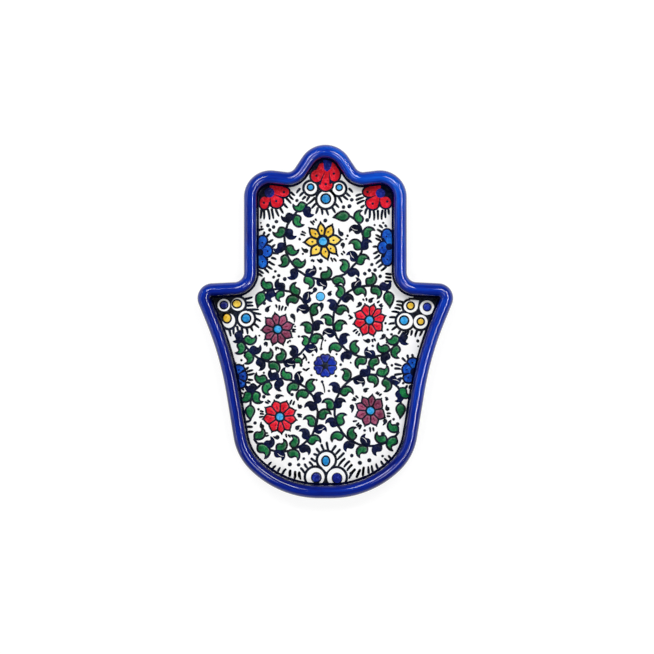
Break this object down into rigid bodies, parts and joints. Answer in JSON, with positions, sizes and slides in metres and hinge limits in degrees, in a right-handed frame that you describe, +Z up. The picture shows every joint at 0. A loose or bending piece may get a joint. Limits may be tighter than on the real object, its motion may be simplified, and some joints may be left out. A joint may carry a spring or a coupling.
{
  "type": "trinket dish",
  "caption": "Shallow hand-shaped ceramic dish with a rolled cobalt rim, a white floor and raised floral enamel; holds rings, keys and small things.",
  "frame": {"origin": "on the table under the middle of the dish's bounding box", "axes": "+Z up out of the table, +Y from the wrist towards the middle fingertip, +X towards the right thumb seen from above"},
  "size_m": [0.1192, 0.165, 0.018],
  "materials": {
    "clay": "bare fired clay, matt",
    "cobalt_glaze": "glossy cobalt glaze, streaked and darker where it pools",
    "white_glaze": "glossy white glaze",
    "green_enamel": "raised glossy enamel",
    "navy_enamel": "raised glossy enamel",
    "red_enamel": "raised glossy enamel",
    "plum_enamel": "raised glossy enamel",
    "yellow_enamel": "raised glossy enamel",
    "turquoise_enamel": "raised glossy enamel",
    "blue_enamel": "raised glossy enamel"
  },
  "bodies": {
    "root": {"clay_body": "clay", "cobalt_rim_glaze": "cobalt_glaze", "white_floor_glaze": "white_glaze", "white_base_glaze": "white_glaze", "vine_top": "green_enamel", "vine_left": "green_enamel", "vine_right": "green_enamel", "vine_lower_left": "green_enamel", "vine_lower_right": "green_enamel", "flower_top_petals": "yellow_enamel", "flower_top_outline": "navy_enamel", "flower_top_heart": "turquoise_enamel", "flower_left_petals": "plum_enamel", "flower_left_outline": "navy_enamel", "flower_left_heart": "turquoise_enamel", "flower_right_petals": "red_enamel", "flower_right_outline": "navy_enamel", "flower_right_heart": "turquoise_enamel", "flower_lower_left_petals": "red_enamel", "flower_lower_left_outline": "navy_enamel", "flower_lower_left_heart": "turquoise_enamel", "flower_lower_right_petals": "plum_enamel", "flower_lower_right_outline": "navy_enamel", "flower_lower_right_heart": "turquoise_enamel", "blue_flower_petals": "blue_enamel", "blue_flower_heart": "navy_enamel", "turquoise_spot": "turquoise_enamel", "half_flower_finger_left": "blue_enamel", "half_flower_finger_right": "blue_enamel", "half_flower_palm_left": "blue_enamel", "half_flower_palm_right": "blue_enamel", "red_flower_middle_petals": "red_enamel", "red_flower_middle_heart": "blue_enamel", "red_flower_left_petals": "red_enamel", "red_flower_left_heart": "blue_enamel", "red_flower_right_petals": "red_enamel", "red_flower_right_heart": "blue_enamel", "eye_bands_thumb_left": "navy_enamel", "iris_thumb_left_1": "blue_enamel", "iris_thumb_left_2": "yellow_enamel", "iris_thumb_left_3": "yellow_enamel", "iris_thumb_left_4": "turquoise_enamel", "eye_bands_thumb_right": "navy_enamel", "iris_thumb_right_1": "yellow_enamel", "iris_thumb_right_2": "blue_enamel", "iris_thumb_right_3": "turquoise_enamel", "iris_thumb_right_4": "yellow_enamel", "eye_bands_wrist": "navy_enamel", "iris_wrist_1": "turquoise_enamel", "iris_wrist_2": "blue_enamel", "iris_wrist_3": "blue_enamel", "eye_bands_finger_left": "navy_enamel", "iris_finger_left_1": "turquoise_enamel", "eye_bands_finger_right": "navy_enamel", "iris_finger_right_1": "turquoise_enamel", "eye_bands_finger_middle": "navy_enamel", "iris_finger_middle_1": "turquoise_enamel"}
  },
  "joints": []
}
